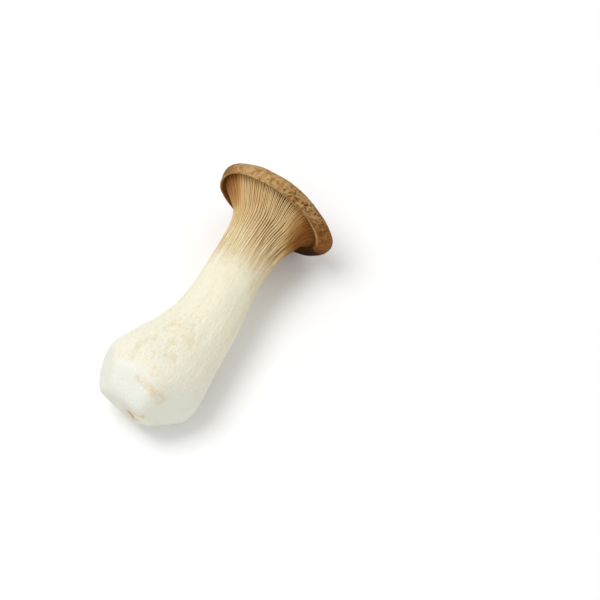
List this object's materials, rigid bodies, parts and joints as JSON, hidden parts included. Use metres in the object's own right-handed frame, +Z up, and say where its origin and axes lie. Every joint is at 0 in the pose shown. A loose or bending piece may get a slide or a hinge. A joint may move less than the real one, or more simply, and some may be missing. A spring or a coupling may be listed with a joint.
{
  "type": "king oyster mushroom",
  "caption": "Picked king oyster mushroom lying on its side: thick stem swelling to a knife-trimmed base, flaring into gills under a small thick brown cap.",
  "frame": {"origin": "bottom centre of the box of the mushroom as it lies, on the surface under it", "axes": "+X along the mushroom from the trimmed base to the cap, +Z up from the surface it lies on, +Y to the left when facing +X, which is the side that the base leans to"},
  "size_m": [0.1148, 0.0562, 0.0548],
  "materials": {
    "flesh": "matt ivory mushroom flesh, taupe-brown on the cap"
  },
  "bodies": {
    "root": {"king_oyster_mushroom": "flesh"}
  },
  "joints": []
}
